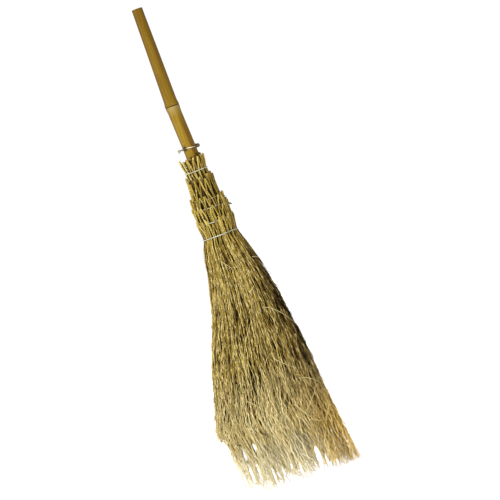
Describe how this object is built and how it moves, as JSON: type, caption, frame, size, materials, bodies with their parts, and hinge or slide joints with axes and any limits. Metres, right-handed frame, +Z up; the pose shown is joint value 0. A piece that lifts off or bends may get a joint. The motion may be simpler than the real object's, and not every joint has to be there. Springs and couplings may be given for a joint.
{
  "type": "twig broom",
  "caption": "Besom of bundled twigs in five wired tiers, pegged and wired onto a bamboo pole, with a wide flat brush.",
  "frame": {"origin": "middle of the bounding box at the height of the lowest twig tip", "axes": "+Z up the handle from the tips, +X to the right across the wide brush, +Y to the back through its flat depth"},
  "size_m": [0.308, 0.124, 1.2],
  "materials": {
    "bamboo": "satin, natural waxy skin",
    "peg_wood": "matt, whittled",
    "binding_wire": "galvanised, dulled",
    "twig": "matt dry bark"
  },
  "bodies": {
    "root": {"handle_culm": "bamboo", "retaining_peg": "peg_wood", "retaining_wire": "binding_wire", "binding_wire_1": "binding_wire", "binding_wire_2": "binding_wire", "binding_wire_3": "binding_wire", "binding_wire_4": "binding_wire", "binding_wire_5": "binding_wire", "tier1_bunch_right": "twig", "tier1_bunch_back_right": "twig", "tier1_bunch_back_left": "twig", "tier1_bunch_left": "twig", "tier1_bunch_front_left": "twig", "tier1_bunch_front_right": "twig", "tier2_bunch_right": "twig", "tier2_bunch_back_right": "twig", "tier2_bunch_back_left": "twig", "tier2_bunch_left": "twig", "tier2_bunch_front_left": "twig", "tier2_bunch_front_right": "twig", "tier3_bunch_right": "twig", "tier3_bunch_back_right": "twig", "tier3_bunch_back_left": "twig", "tier3_bunch_left": "twig", "tier3_bunch_front_left": "twig", "tier3_bunch_front_right": "twig", "tier4_bunch_right": "twig", "tier4_bunch_back_right": "twig", "tier4_bunch_back_left": "twig", "tier4_bunch_left": "twig", "tier4_bunch_front_left": "twig", "tier4_bunch_front_right": "twig", "tier5_bunch_right": "twig", "tier5_bunch_back_right": "twig", "tier5_bunch_back_left": "twig", "tier5_bunch_left": "twig", "tier5_bunch_front_left": "twig", "tier5_bunch_front_right": "twig"}
  },
  "joints": []
}
